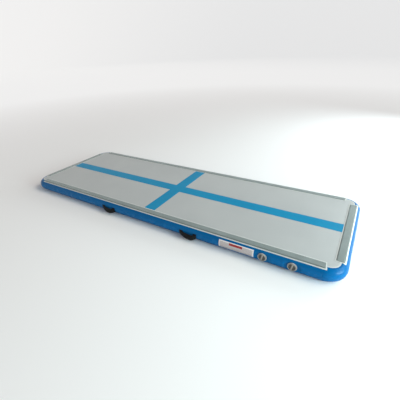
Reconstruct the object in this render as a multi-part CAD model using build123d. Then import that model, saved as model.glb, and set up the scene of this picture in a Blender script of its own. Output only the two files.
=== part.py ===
from build123d import *
import math
import os

# Air track mat: a drop-stitch air chamber with a bulging side band, hook-and-loop
# joining strips, webbing carry handles and two inflation valves.
# Millimetres. Origin: centre of the underside. +X runs along the mat, +Z is up,
# and the valves and the label are on the -Y side.

# ---- driving dimensions ----------------------------------------------------
length = 3000.0            # overall, over the bulged ends
width = 1000.0             # overall, over the bulged long sides
height = 100.0             # inflated, underside to the face of the top skin
corner_radius = 130.0      # outermost line of the bulge, seen from above

skin = 1.0                 # every welded sheet: base cloths, band, top and bottom skins
bulge = 33.0               # how far the side swells past the edge of the flat top
flange_reach = 90.0        # inner edge of the band's glued flanges, from the outermost line
skin_inset = 46.0          # edge of the top and bottom skins, from the outermost line
skin_corner = 66.0         # corner radius that the two skins are cut to
cloth_clearance = 3.0      # base cloth edge to the inside of the side band

tape = 0.8                 # seam tapes round the upper and lower shoulders
tape_drop = 28.0           # height of side wall that each tape covers

thread_pitch_x = 140.0     # the drop threads, gathered into coarse bundles
thread_pitch_y = 100.0
thread_diameter = 1.2
thread_margin = 110.0      # bare border kept free for the valves' inner ends

strip_width = 48.0         # hook-and-loop strips
strip = 1.6                # their thickness over the base strip
strip_end_front = 119.0    # end of a long strip to the mat's outermost end line
strip_end_side = 126.0     # end of a short strip to the mat's outermost side line
base = 0.9                 # white base strips under them
base_margin = 4.0          # base strip past the hook strip, inwards
base_end = 12.0            # base strip past the hook strip's ends
base_wrap = 15.6           # degrees that the base strip wraps down over the bulge

stripe = 0.6               # blue marking stripes
stripe_width = 106.0

label = 0.6                # label patch on the front side
label_left = 690.0
label_length = 256.0
label_gap = 10.0           # label's top edge below the base strip's wrapped edge
block_left = 78.0          # red block, from the label's left edge
block_length = 98.0
block_drop = 5.0           # its top below the label's top
block_height = 14.5
block = 0.3

handle_pitch = 831.0       # between the two handles of one side
handle_centre = 16.0       # middle of the pair along the mat
handle_span = 146.0        # over the webbing's folds
handle_bow = 30.0          # how far the loop stands out at its middle
handle_top = 63.0          # upper edge of the webbing
webbing_width = 38.0
webbing = 2.2
tab = 1.8                  # the folded ends, glued to the side
tab_length = 26.0
tab_setback = 2.0          # outer edge of a tab inside the fold
tab_gap = 0.5              # tab's lower edge to the lower seam tape
fold_clearance = 0.6       # loop's inner face to the face of the tabs

valve_x = (1004.0, 1197.0)
seat_setback = 9.0         # seat's outer face, inside the outermost line of the bulge
mouth_diameter = 34.0      # pump nozzle mouth
barrel_wall = 4.0
barrel_depth = 20.0        # seat's outer face to the inner end of the barrel
flange_lap = 9.0           # flange past the barrel, over the seat
flange = 3.0
flange_clearance = 1.4     # flange to the collar round it
seat = 6.0
seat_wall = 1.6            # thin collar that joins the seat to the bulge
gasket = 1.0
gasket_setback = 1.5       # gasket's edge inside the flange's
nut = 6.0
nut_wall = 8.0
spider_depth = 17.0        # seat's outer face to the inner face of the spider
spider = 3.0
spoke_width = 3.0
boss_diameter = 9.0
stem_diameter = 4.0
stem_clearance = 0.05      # radial, stem in the spider's boss
button_diameter = 10.0
button = 2.0
poppet_lap = 3.0           # poppet disc past the mouth, over the barrel's inner end
poppet = 2.0
stem_seal = 1.6
seal_gap = 0.05
stem_travel = 6.0
wire = 0.9
spring_diameter = 7.0      # mean coil diameter
spring_turns = 5.0
cap_gap = 0.1
cap_seal = 0.9
cap_seal_width = 3.0
cap_reveal = 4.0           # flange left showing round the cap
cap_rim = 3.6
neck_step = 4.0            # cap's rim past its neck
neck = 1.5
plug_clearance = 0.5       # plug in the mouth, radial
plug_wall = 2.0
plug_depth = 4.5
pocket_depth = 2.6
grip_width = 10.0
pocket_rim = 3.5
eye_clearance = 0.3
eye = 1.2
eye_width = 2.6
tether_width = 5.0
tether_angle = -150.0      # degrees, seen from outside, where the tether is anchored

# ---- worked out ------------------------------------------------------------
middle = height / 2
half_length = length / 2
half_width = width / 2
seat_bore = mouth_diameter + 2 * barrel_wall
flange_diameter = seat_bore + 2 * flange_lap
seat_diameter = flange_diameter + 2 * (flange_clearance + seat_wall)
band_top = height - skin
half_chord = band_top - middle
wall_radius = (half_chord**2 + bulge**2) / (2 * bulge)
wall_centre = -wall_radius
tape_radius = wall_radius + tape
hook_top = height + base + strip

FRONT, RIGHT, BACK, LEFT = -90, 0, 90, 180


def wall_out(z, radius=wall_radius):
    """How far out the side wall's arc is at height z, from the outermost line (0)."""
    return wall_centre + math.sqrt(radius**2 - (z - middle) ** 2)


def side_half(side):
    """Distance from the mat's centre to the outermost line of a side."""
    return half_width if side in (FRONT, BACK) else half_length


def side_run(side):
    """Length of a side's straight part, between its two rounded corners."""
    return (length if side in (FRONT, BACK) else width) - 2 * corner_radius


def section_plane(side, along):
    """Plane across a side: x is outwards from the outermost line, y is up."""
    out = Vector(1, 0, 0).rotate(Axis.Z, side)
    run = out.cross(Vector(0, 0, 1))
    return Plane(origin=out * side_half(side) + run * along, x_dir=out, z_dir=run)


def straight(section, side, run, centre=0.0):
    """A section carried along a straight stretch of a side."""
    return extrude(section_plane(side, centre - run / 2) * section, run)


def corner(section, side):
    """A section turned round the corner between a side and the next one anticlockwise."""
    start = section_plane(side, -side_run(side) / 2)
    centre = start.origin - start.x_dir * corner_radius
    return revolve(start * section, Axis(centre, (0, 0, 1)), 90)


def whole_ring(section):
    """A section carried all round the mat."""
    pieces = [straight(section, side, side_run(side)) for side in (FRONT, RIGHT, BACK, LEFT)]
    pieces += [corner(section, side) for side in (FRONT, RIGHT, BACK, LEFT)]
    return pieces[0].fuse(*pieces[1:])


def plate(inset, low, high, radius):
    """A flat sheet with rounded corners, inset from the outermost line."""
    outline = RectangleRounded(length - 2 * inset, width - 2 * inset, radius)
    return Pos(0, 0, low) * extrude(outline, high - low)


def arc_layer(inner, outer, low, high):
    """Section of a layer on the bulge, between two radii and two heights."""
    def point(radius, z):
        return (wall_out(z, radius), z)

    centre = (low + high) / 2
    edges = Line(point(inner, low), point(outer, low))
    edges += ThreePointArc(point(outer, low), point(outer, centre), point(outer, high))
    edges += Line(point(outer, high), point(inner, high))
    edges += ThreePointArc(point(inner, high), point(inner, centre), point(inner, low))
    return make_face(edges)


def band_section():
    """C-shaped section of the side band: flange, bulging wall, flange."""
    outside = (-bulge, band_top)
    inside_z = band_top - skin
    inside = (wall_out(inside_z, wall_radius - skin), inside_z)

    def low(point):
        return (point[0], height - point[1])

    edges = Polyline((-flange_reach, inside_z), (-flange_reach, band_top), outside)
    edges += ThreePointArc(outside, (0, middle), low(outside))
    edges += Polyline(low(outside), (-flange_reach, skin), (-flange_reach, 2 * skin), low(inside))
    edges += ThreePointArc(low(inside), (-skin, middle), inside)
    edges += Line(inside, (-flange_reach, inside_z))
    return make_face(edges)


parts = {}

# ---- air chamber -----------------------------------------------------------
cloth_inset = -wall_out(band_top - 2 * skin, wall_radius - skin) + cloth_clearance
chamber_low = 3 * skin
chamber_high = height - 3 * skin
cloth_corner = corner_radius - cloth_inset
parts["lower_base_cloth"] = plate(cloth_inset, 2 * skin, chamber_low, cloth_corner)
parts["upper_base_cloth"] = plate(cloth_inset, chamber_high, height - 2 * skin, cloth_corner)

threads_x = int((length - 2 * thread_margin) // thread_pitch_x) + 1
threads_y = int((width - 2 * thread_margin) // thread_pitch_y) + 1
thread = Pos(0, 0, middle) * Cylinder(thread_diameter / 2, chamber_high - chamber_low)
grid = GridLocations(thread_pitch_x, thread_pitch_y, threads_x, threads_y)
parts["drop_threads"] = Compound([place * thread for place in grid])


def skin_sheet(face_low, step_low):
    """A covering sheet that lies over the band's flange and steps down inside it."""
    cover = plate(skin_inset, face_low, face_low + skin, skin_corner)
    return cover + plate(flange_reach, step_low, step_low + skin, corner_radius - flange_reach)


parts["bottom_skin"] = skin_sheet(0, skin)
parts["top_skin"] = skin_sheet(height - skin, height - 2 * skin)

# ---- side band, tapes ------------------------------------------------------
seat_holes = [
    Plane(origin=(x, -half_width, middle), z_dir=(0, -1, 0)) * Cylinder(seat_diameter / 2, 4 * bulge)
    for x in valve_x
]
profile = band_section()
parts["side_band_front"] = straight(profile, FRONT, side_run(FRONT)) - seat_holes
parts["side_band_back"] = straight(profile, BACK, side_run(BACK))
end_band = straight(profile, RIGHT, side_run(RIGHT)) + corner(profile, RIGHT) + corner(profile, FRONT)
parts["side_band_right"] = end_band
parts["side_band_left"] = mirror(end_band, Plane.YZ)

upper_tape = arc_layer(wall_radius, tape_radius, band_top - tape_drop, band_top)
lower_tape = arc_layer(wall_radius, tape_radius, skin, skin + tape_drop)
parts["upper_seam_tape"] = whole_ring(upper_tape) - seat_holes
parts["lower_seam_tape"] = whole_ring(lower_tape) - seat_holes

# ---- hook-and-loop strips on their base strips -------------------------------


def base_section():
    """Base strip: flat on the top skin, down its edge, then wrapped over the bulge."""
    angle = math.degrees(math.acos((-bulge - wall_centre) / wall_radius)) - base_wrap

    def on_arc(radius, degrees):
        turn = math.radians(degrees)
        return (wall_centre + radius * math.cos(turn), middle + radius * math.sin(turn))

    inner = tape_radius
    outer = tape_radius + base
    shoulder = (wall_out(band_top, inner), band_top)
    shoulder_angle = math.degrees(math.asin(half_chord / inner))
    crest_z = height + base
    crest = (wall_out(crest_z, outer), crest_z)
    crest_angle = math.degrees(math.asin((crest_z - middle) / outer))
    inner_edge = -bulge - strip_width - base_margin
    edges = Polyline(crest, (inner_edge, crest_z), (inner_edge, height), (-skin_inset, height))
    edges += Polyline((-skin_inset, height), (-skin_inset, band_top), (-bulge, band_top), shoulder)
    edges += ThreePointArc(shoulder, on_arc(inner, (shoulder_angle + angle) / 2), on_arc(inner, angle))
    edges += Line(on_arc(inner, angle), on_arc(outer, angle))
    edges += ThreePointArc(on_arc(outer, angle), on_arc(outer, (angle + crest_angle) / 2), crest)
    return make_face(edges)


hook_section = Pos(-bulge - strip_width / 2, height + base + strip / 2) * Rectangle(strip_width, strip)
names = {FRONT: "front", RIGHT: "right", BACK: "back", LEFT: "left"}
for side, name in names.items():
    ends = strip_end_front if side in (FRONT, BACK) else strip_end_side
    run = (length if side in (FRONT, BACK) else width) - 2 * ends
    parts["base_strip_" + name] = straight(base_section(), side, run + 2 * base_end)
    parts["hook_strip_" + name] = straight(hook_section, side, run)

# ---- marking stripes ---------------------------------------------------------
stripe_stop = bulge + strip_width + base_margin
cross_run = half_width - stripe_stop - stripe_width / 2
centre_stripe = Box(length - 2 * stripe_stop, stripe_width, stripe)
cross_stripe = Box(stripe_width, cross_run, stripe)
cross_y = stripe_width / 2 + cross_run / 2
parts["centre_stripe"] = Pos(0, 0, height + stripe / 2) * centre_stripe
parts["cross_stripe_front"] = Pos(0, -cross_y, height + stripe / 2) * cross_stripe
parts["cross_stripe_back"] = Pos(0, cross_y, height + stripe / 2) * cross_stripe

# ---- label -------------------------------------------------------------------


def on_front(section, left, run):
    """A section carried along the front side from its left end."""
    return straight(section, FRONT, run, centre=-(left + run / 2))


tape_edge = band_top - tape_drop
wrap_end = math.radians(math.degrees(math.acos((-bulge - wall_centre) / wall_radius)) - base_wrap)
label_bottom = skin + tape_drop
label_top = middle + tape_radius * math.sin(wrap_end) - label_gap
block_top = label_top - block_drop
block_bottom = block_top - block_height
patch_radius = tape_radius + label
patch = on_front(arc_layer(wall_radius, patch_radius, label_bottom, tape_edge), label_left, label_length)
patch += on_front(arc_layer(tape_radius, patch_radius, tape_edge, label_top), label_left, label_length)
parts["label_patch"] = patch
red = arc_layer(patch_radius, patch_radius + block, block_bottom, block_top)
parts["label_block"] = on_front(red, label_left + block_left, block_length)

# ---- handles -----------------------------------------------------------------
handle_bottom = handle_top - webbing_width
loop_in = tab + fold_clearance


def webbing_loop():
    """The free loop, seen from above: a bowed strap of constant thickness, extruded up."""
    half = handle_span / 2
    inner_apex = handle_bow - webbing
    inner_half = half - webbing
    edges = ThreePointArc((-half, loop_in), (0, loop_in + handle_bow), (half, loop_in))
    edges += Line((half, loop_in), (inner_half, loop_in))
    edges += ThreePointArc((inner_half, loop_in), (0, loop_in + inner_apex), (-inner_half, loop_in))
    edges += Line((-inner_half, loop_in), (-half, loop_in))
    return extrude(make_face(edges), webbing_width)


def handle_tabs():
    """The two glued ends of one handle, lying on the side wall."""
    lowest = max(handle_bottom + 1, skin + tape_drop + tab_gap)
    section = arc_layer(wall_radius, wall_radius + tab, lowest, handle_top)
    offset = handle_span / 2 - tab_setback - tab_length / 2
    return [straight(section, BACK, tab_length, centre=side * offset) for side in (-1, 1)]


loop = Pos(0, half_width, handle_bottom) * webbing_loop()
tabs = Compound(handle_tabs())
for across, turn in (("front", 180), ("back", 0)):
    for along, sign in (("left", -1), ("right", 1)):
        x = handle_centre + sign * handle_pitch / 2
        place = Pos(x, 0, 0) * Rot(0, 0, turn)
        parts[f"handle_{across}_{along}"] = place * loop
        parts[f"handle_tabs_{across}_{along}"] = place * tabs

# ---- valves ------------------------------------------------------------------
gasket_diameter = flange_diameter - 2 * gasket_setback
nut_diameter = seat_bore + 2 * nut_wall
poppet_diameter = mouth_diameter + 2 * poppet_lap
cap_diameter = flange_diameter - 2 * cap_reveal
neck_diameter = cap_diameter - 2 * neck_step
plug_diameter = mouth_diameter - 2 * plug_clearance
seat_face = -half_width + seat_setback
flange_face = gasket + flange
cap_low = flange_face + cap_gap
neck_low = cap_low + cap_seal
rim_low = neck_low + neck
poppet_face = -barrel_depth - seal_gap - stem_seal
spider_low = -spider_depth
spider_high = spider_low + spider
button_low = -button


def disc(diameter, low, high):
    """A round disc about the valve's axis."""
    return Pos(0, 0, (low + high) / 2) * Cylinder(diameter / 2, high - low)


def ring(outer, inner, low, high):
    """A round ring about the valve's axis."""
    return disc(outer, low, high) - disc(inner, low - 1, high + 1)


def bulge_body():
    """The space inside the outermost bulge, in the valve's own axes."""
    round_bar = Rot(0, 90, 0) * Cylinder(tape_radius, 2 * seat_diameter)
    return Pos(0, 0, wall_centre + seat_setback) * round_bar


def valve_seat():
    """Moulded seat let into the side: a flat ring with a collar out to the bulge."""
    collar = ring(seat_diameter, seat_diameter - 2 * seat_wall, -seat, seat_setback) & bulge_body()
    return ring(seat_diameter, seat_bore, -seat, 0) + collar


def valve_body():
    """Flange, barrel and three-spoked spider with the stem's guide boss."""
    body = ring(flange_diameter, mouth_diameter, gasket, flange_face)
    body += ring(seat_bore, mouth_diameter, -barrel_depth, flange_face)
    reach = (mouth_diameter + boss_diameter) / 4 + 0.5
    for turn in (90, 210, 330):
        spoke = Box(mouth_diameter / 2, spoke_width, spider)
        body += Rot(0, 0, turn) * Pos(reach, 0, (spider_low + spider_high) / 2) * spoke
    boss = disc(boss_diameter, spider_low, spider_high)
    return (body + boss) - disc(stem_diameter + 2 * stem_clearance, spider_low - 1, spider_high + 1)


def valve_stem():
    """Button, shaft and poppet disc."""
    stem = disc(stem_diameter, poppet_face - poppet, 0)
    return stem + disc(button_diameter, button_low, 0) + disc(poppet_diameter, poppet_face - poppet, poppet_face)


def valve_spring():
    """Coil spring between the spider and the button."""
    free = button_low - spider_high - wire
    path = Helix(free / spring_turns, free, spring_diameter / 2)
    start = Plane(origin=path @ 0, z_dir=path % 0)
    coil = sweep(start * Circle(wire / 2), path, is_frenet=True)
    return Pos(0, 0, spider_high + wire / 2) * coil


def valve_cap():
    """Cap with two pockets either side of a grip bar, a neck and a hollow plug."""
    rim_high = rim_low + cap_rim
    pocket = disc(cap_diameter - 2 * pocket_rim, rim_high - pocket_depth, rim_high + 1)
    pocket -= Pos(0, 0, rim_high) * Box(grip_width, cap_diameter, 4 * pocket_depth)
    cap = disc(cap_diameter, rim_low, rim_high) - pocket
    cap += disc(neck_diameter, neck_low, rim_low)
    plug = ring(plug_diameter, plug_diameter - 2 * plug_wall, neck_low - plug_depth, neck_low)
    return cap + plug


def valve_tether(eye_radius):
    """Short strap from the flange to the edge of the cap's eye."""
    inner = eye_radius + eye_clearance
    strap = Box(flange_diameter / 2 - inner, tether_width, eye)
    strap = Pos((flange_diameter / 2 + inner) / 2, 0, flange_face + eye / 2) * strap
    strap &= disc(flange_diameter - 1, flange_face, flange_face + eye)
    strap -= disc(2 * inner, flange_face - 1, flange_face + 2 * eye)
    return Rot(0, 0, tether_angle) * strap


eye_inner = neck_diameter + 2 * eye_clearance
eye_outer = eye_inner + 2 * eye_width
seal_inner = plug_diameter + 2 * cap_gap
valve_pieces = {
    "seat": valve_seat(),
    "gasket": ring(gasket_diameter, seat_bore, 0, gasket),
    "body": valve_body(),
    "nut": ring(nut_diameter, seat_bore, -seat - nut, -seat),
    "spring": valve_spring(),
    "stem": valve_stem(),
    "stem_seal": ring(poppet_diameter, mouth_diameter, poppet_face, poppet_face + stem_seal),
    "cap": valve_cap(),
    "cap_seal": ring(seal_inner + 2 * cap_seal_width, seal_inner, cap_low, neck_low),
    "eye": ring(eye_outer, eye_inner, rim_low - cap_gap - eye, rim_low - cap_gap),
    "tether": valve_tether(eye_outer / 2),
}
for number, x in enumerate(valve_x, start=1):
    axis_plane = Plane(origin=(x, seat_face, middle), x_dir=(1, 0, 0), z_dir=(0, -1, 0))
    for name, shape in valve_pieces.items():
        parts[f"valve_{number}_{name}"] = axis_plane * shape

# ---- write -------------------------------------------------------------------
os.makedirs("parts", exist_ok=True)
for name, shape in parts.items():
    export_step(shape, f"parts/{name}.step")
print(len(parts), "nodes; top of the hook strips at", hook_top)
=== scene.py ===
# %% [markdown]
# # An inflatable air track mat
# The mat is a flat air chamber. Two cloths are tied together by thousands of drop
# threads, so its top and bottom stay flat, and only the side band, which has no
# threads behind it, swells out under the pressure. Everything that shows is a sheet
# welded or sewn onto that chamber. So this lesson first works out the line that the
# side takes, and then lays each sheet along it at its own height.
#
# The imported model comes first. It holds every place and size, and nothing below
# moves it.

# %% Load the frame
import math

import bmesh
import bpy
import numpy as np
from mathutils import Matrix, Vector


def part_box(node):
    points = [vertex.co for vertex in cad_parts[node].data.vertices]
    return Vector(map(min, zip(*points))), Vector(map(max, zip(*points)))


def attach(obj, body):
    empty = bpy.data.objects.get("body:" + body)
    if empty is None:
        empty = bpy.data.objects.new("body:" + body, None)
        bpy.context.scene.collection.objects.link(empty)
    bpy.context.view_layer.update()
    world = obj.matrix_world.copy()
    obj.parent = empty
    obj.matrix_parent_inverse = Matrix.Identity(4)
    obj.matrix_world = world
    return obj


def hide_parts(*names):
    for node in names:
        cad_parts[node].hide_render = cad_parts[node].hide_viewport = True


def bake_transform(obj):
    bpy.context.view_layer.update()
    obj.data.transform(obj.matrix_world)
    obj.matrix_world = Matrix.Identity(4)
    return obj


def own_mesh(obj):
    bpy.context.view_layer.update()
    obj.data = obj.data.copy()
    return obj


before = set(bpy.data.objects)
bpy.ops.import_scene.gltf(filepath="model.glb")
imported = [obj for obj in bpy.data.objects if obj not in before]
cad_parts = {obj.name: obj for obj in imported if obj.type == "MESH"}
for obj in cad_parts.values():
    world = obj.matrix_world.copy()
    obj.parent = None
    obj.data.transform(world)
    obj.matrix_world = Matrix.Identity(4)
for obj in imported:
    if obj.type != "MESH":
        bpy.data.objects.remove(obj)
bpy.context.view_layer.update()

MM = 0.001


def corners(node):
    """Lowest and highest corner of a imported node, as two arrays in metres."""
    low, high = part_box(node)
    return np.array(low), np.array(high)


def half_size(node):
    """Half a node's size along X, Y and Z."""
    low, high = corners(node)
    return (high - low) / 2


# %% [markdown]
# ## Sizes from the frame
# A blanket maker reads the cutting sizes off the pattern. Here the pattern is the
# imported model: the mat's outline, the height of its shoulders and the place of each
# strip all come from the nodes' boxes.

# %% Read the driving sizes
band_low, band_high = corners("side_band_front")
half_width = -band_low[1]
half_length = corners("side_band_right")[1][0]
straight_x = band_high[0]  # half the straight part of a long side
corner_radius = half_length - straight_x
straight_y = half_width - corner_radius  # half the straight part of an end
shoulder = half_width + corners("hook_strip_front")[0][1]
top_z = corners("top_skin")[1][2]
sheet = band_low[2]  # one sheet's thickness
wall_low, wall_high = band_low[2], band_high[2]
middle_z = (wall_low + wall_high) / 2
half_chord = (wall_high - wall_low) / 2
wall_radius = (half_chord**2 + shoulder**2) / (2 * shoulder)
print("half sizes", half_length, half_width, "wall radius", round(wall_radius, 5))

# %% [markdown]
# ## The line of the side
# Air pushes a free strip of fabric into an arc, whatever holds its two edges. Cut
# across, the side is flat, then an arc, then flat again. One developed coordinate w
# runs along that cut, in metres from the upper shoulder: w below 0 is the flat top,
# then the arc, then the flat underside. Real fabric cannot crease sharply where the
# threads stop, so the line is averaged over a few millimetres.
#
# Every sheet on the side is then the same line, lifted by a height h along its
# normal. That is simpler than modelling each layer by hand, and keeps them parallel.

# %% Work out the side's line
half_angle = math.asin(half_chord / wall_radius)
arc_length = 2 * half_angle * wall_radius
FLAT_REACH = 120 * MM  # how far the line is followed inwards
SOFT_SHOULDER = 5 * MM  # averaging length at the shoulders
STEP = 0.25 * MM


def raw_line(w):
    """u = -b + w on top, u = -r + r cos(a), z = m + r sin(a) on the arc with a = A - w / r."""
    angle = half_angle - np.clip(w, 0, arc_length) / wall_radius
    u = -wall_radius + wall_radius * np.cos(angle)
    z = middle_z + wall_radius * np.sin(angle)
    u = u + np.minimum(w, 0) - np.maximum(w - arc_length, 0)
    return u, z


line_w = np.arange(-FLAT_REACH, arc_length + FLAT_REACH, STEP)
kernel = np.hanning(2 * int(SOFT_SHOULDER / STEP) + 1)
kernel /= kernel.sum()
pad = len(kernel) // 2
wide_w = np.concatenate([line_w[0] - STEP * np.arange(pad, 0, -1), line_w,
                         line_w[-1] + STEP * np.arange(1, pad + 1)])
wide_u, wide_z = raw_line(wide_w)
line_u = np.convolve(wide_u, kernel, "valid")
line_z = np.convolve(wide_z, kernel, "valid")
slope_u, slope_z = np.gradient(line_u), np.gradient(line_z)
slope = np.hypot(slope_u, slope_z)
normal_u, normal_z = -slope_z / slope, slope_u / slope


def w_at(z):
    """The developed coordinate where the outer line passes height z on the arc."""
    return (half_angle - math.asin((z - middle_z) / wall_radius)) * wall_radius


print("arc length", round(arc_length * 1000, 1), "mm")

# %% [markdown]
# ## The outline seen from above
# The second coordinate s runs anticlockwise round the mat from the left end of the
# front side. The outline is a rounded rectangle: a small core rectangle, plus the
# corner radius along a normal that turns only in the corners. Both are straight-line
# functions of s, so `np.interp` gives whole arrays at once.
#
# Air-filled fabric is never quite even. Puckers run down from the shoulders where a
# straight band has been eased round a corner, and long slow waves run along it.

# %% Work out the outline and the ripples
QUARTER = corner_radius * math.pi / 2
runs = np.array([2 * straight_x, QUARTER, 2 * straight_y, QUARTER] * 2)
stops = np.concatenate([[0], np.cumsum(runs)])
perimeter = stops[-1]
core_x = np.array([-1, 1, 1, 1, 1, -1, -1, -1, -1]) * straight_x
core_y = np.array([-1, -1, -1, 1, 1, 1, 1, -1, -1]) * straight_y
heading = np.radians([-90, -90, 0, 0, 90, 90, 180, 180, 270])
EASE = 70 * MM  # length over which a corner's puckers fade


def cornerness(s):
    """1 inside a corner, falling to 0 over EASE on each side of it."""
    near = np.zeros_like(s)
    for k in (1, 3, 5, 7):
        gap = np.maximum(stops[k] - s, s - stops[k + 1])
        near = np.maximum(near, np.clip(1 - gap / EASE, 0, 1))
    near = np.maximum(near, np.clip(1 - s / EASE, 0, 1))
    return near * near * (3 - 2 * near)


def waves(s, count, phase):
    """A closed wave round the mat: sin(2 pi count s / perimeter + phase)."""
    return np.sin(2 * math.pi * count * s / perimeter + phase)


def ripple(s, w):
    """Height of the puckers and slow waves, in metres, on the (s, w) grid."""
    belly = np.clip(np.sin(math.pi * np.clip(w / arc_length, 0, 1)), 0, 1)
    slow = 0.45 * waves(s, 19, 0.4) + 0.3 * waves(s, 31, 2.1) + 0.2 * waves(s, 53, 5.0)
    edge = np.exp(-((w - 9 * MM) / (11 * MM)) ** 2)
    edge = edge + np.exp(-((w - arc_length + 9 * MM) / (11 * MM)) ** 2)
    fine = waves(s, 311, 1.3) * 0.6 + waves(s, 397, 0.2) * 0.4 * waves(s, 23, 1.0)
    amount = 0.05 + 0.38 * cornerness(s)
    return MM * (0.8 * slow * belly + fine * edge * amount)


def smooth(value, far, near):
    """0 at far, 1 at near, with no kink at either: 3t^2 - 2t^3."""
    t = np.clip((value - far) / (near - far), 0, 1)
    return t * t * (3 - 2 * t)


VALVES = (1, 2)
valve_at = [sum(corners(f"valve_{k}_cap")) / 2 for k in VALVES]
seat_y = corners("valve_1_gasket")[1][1]  # the flat face that a valve clamps
seat_reach = half_size("valve_1_seat")[0]
PULL_REACH = 60 * MM  # where the pull of a valve is no longer felt
PULL_FROM, PULL_FULL = 13 * MM, 27 * MM  # developed distance from a shoulder
DOUBLER = 1.6 * MM  # welded ring between the band and the valve


def lay(s, w, h):
    """Points of a sheet: outline(s) + (R + u(w)) n(s), lifted by h, on the (s, w) grid.

    Round each valve the fabric is drawn onto the flat face that the valve clamps.
    """
    s, w, h = np.broadcast_arrays(np.atleast_2d(s), np.atleast_2d(w), h)
    lift = h + ripple(s, w)
    u = np.interp(w, line_w, line_u) + lift * np.interp(w, line_w, normal_u)
    z = np.interp(w, line_w, line_z) + lift * np.interp(w, line_w, normal_z)
    turn = np.interp(s, stops, heading)
    x = np.interp(s, stops, core_x) + (corner_radius + u) * np.cos(turn)
    y = np.interp(s, stops, core_y) + (corner_radius + u) * np.sin(turn)
    on_arc = smooth(w, PULL_FROM, PULL_FULL)
    on_arc = on_arc * smooth(w, arc_length - PULL_FROM, arc_length - PULL_FULL)
    for at in valve_at:
        away = np.hypot(x - at[0], z - at[2])
        pull = np.where(y < 0, smooth(away, PULL_REACH, seat_reach) * on_arc, 0)
        y = y + (seat_y + DOUBLER - h - y) * pull
    return np.stack([x, y, np.maximum(z, 0)], -1)


print("perimeter", round(perimeter, 3), "m")

# %% [markdown]
# ## Meshes from grids
# A grid of points becomes a mesh by joining each point to its neighbours. `surface`
# does that for an open sheet, which the Solidify modifier then gives its thickness,
# so its rims close too. It can also close the grid across and cap its ends, for
# pieces whose section is shaped.
#
# The UV map is in metres along and across the sheet, so a woven or calendered
# pattern keeps its real scale and follows every bend.

# %% Mesh helpers
scene = bpy.context.scene


def arc_steps(points, axis):
    """Distance walked along one axis of a grid, averaged over the other, from 0."""
    step = np.linalg.norm(np.diff(points, axis=axis), axis=-1).mean(axis=1 - axis)
    return np.concatenate([[0], np.cumsum(step)])


def new_piece(name, points, faces, finish):
    """An object with smooth faces between a list of points, at the origin."""
    mesh = bpy.data.meshes.new(name)
    mesh.from_pydata(points, [], faces)
    mesh.polygons.foreach_set("use_smooth", np.ones(len(mesh.polygons), bool))
    mesh.materials.append(finish)
    piece = bpy.data.objects.new(name, mesh)
    scene.collection.objects.link(piece)
    return piece


def surface(name, points, finish, across=False, caps=False):
    """A mesh of quads on a grid of points (n, m, 3); `across` closes the second axis."""
    n, m = points.shape[:2]
    index = np.arange(n * m).reshape(n, m)
    along_uv = arc_steps(points, 0)
    across_uv = arc_steps(points, 1)
    if across:
        index = np.hstack([index, index[:, :1]])
        gap = np.linalg.norm(points[:, -1] - points[:, 0], axis=-1).mean()
        across_uv = np.append(across_uv, across_uv[-1] + gap)
    quads = np.stack([index[:-1, :-1], index[:-1, 1:], index[1:, 1:], index[1:, :-1]], -1)
    quads = quads.reshape(-1, 4)
    u, v = np.meshgrid(along_uv, across_uv, indexing="ij")
    uv = np.stack([u, v], -1)
    at = [uv[:-1, :-1], uv[:-1, 1:], uv[1:, 1:], uv[1:, :-1]]
    loops = np.stack(at, 2).reshape(-1, 2)
    faces = quads.tolist()
    if caps:
        faces += [index[0, :m][::-1].tolist(), index[-1, :m].tolist()]
        flat = np.zeros((2 * m, 2))
        flat[:, 0] = np.tile(across_uv[:m], 2)
        loops = np.vstack([loops, flat])
    piece = new_piece(name, points.reshape(-1, 3), faces, finish)
    layer = piece.data.uv_layers.new(name="metres")
    layer.data.foreach_set("uv", loops.astype(np.float32).ravel())
    if caps:
        weld(piece)
    return piece


def reshape(piece, change):
    """Opens a piece's mesh, lets `change` work on it, and puts it back."""
    mesh = bmesh.new()
    mesh.from_mesh(piece.data)
    change(mesh)
    mesh.to_mesh(piece.data)
    mesh.free()
    return piece


def face_out(mesh):
    """Turns every face outwards."""
    bmesh.ops.recalc_face_normals(mesh, faces=mesh.faces)


def weld(piece, reach=0.002 * MM):
    """Merges coincident points and turns every face outwards."""
    reshape(piece, lambda mesh: bmesh.ops.remove_doubles(mesh, verts=mesh.verts, dist=reach))
    return reshape(piece, face_out)


def close_ends(piece):
    """Closes the open ends of a tube, each with one flat face."""
    def fill(mesh):
        rim = [edge for edge in mesh.edges if edge.is_boundary]
        bmesh.ops.holes_fill(mesh, edges=rim, sides=0)
        face_out(mesh)
    return reshape(piece, fill)


def thicken(piece, thickness, outward=True, bevel=0.0, corner=50):
    """Gives a sheet its thickness, and rounds its cut edges where they pass `corner` degrees."""
    solid = piece.modifiers.new("thickness", "SOLIDIFY")
    solid.thickness = thickness
    solid.offset = 1 if outward else -1
    if bevel:
        edge = piece.modifiers.new("round edges", "BEVEL")
        edge.width = bevel
        edge.segments = 2
        edge.limit_method = "ANGLE"
        edge.angle_limit = math.radians(corner)
        edge.use_clamp_overlap = True
    return piece


def shaded_by_angle(piece, degrees):
    """Smooth shading, but with crisp edges sharper than the given angle."""
    piece.data.polygons.foreach_set("use_smooth", np.ones(len(piece.data.polygons), bool))
    piece.data.set_sharp_from_angle(angle=math.radians(degrees))
    return piece


def mark(piece, name, values):
    """Stores one number per point under a name that a finish reads."""
    layer = piece.data.attributes.new(name, "FLOAT", "POINT")
    layer.data.foreach_set("value", values.astype(np.float32).ravel())


def belongs(piece, slot, *nodes, body="mat"):
    """Attaches a piece to the body that carries it, and hides the imported nodes it stands for; slot
    is not used.
    """
    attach(piece, body)
    if nodes:
        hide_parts(*nodes)


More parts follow.
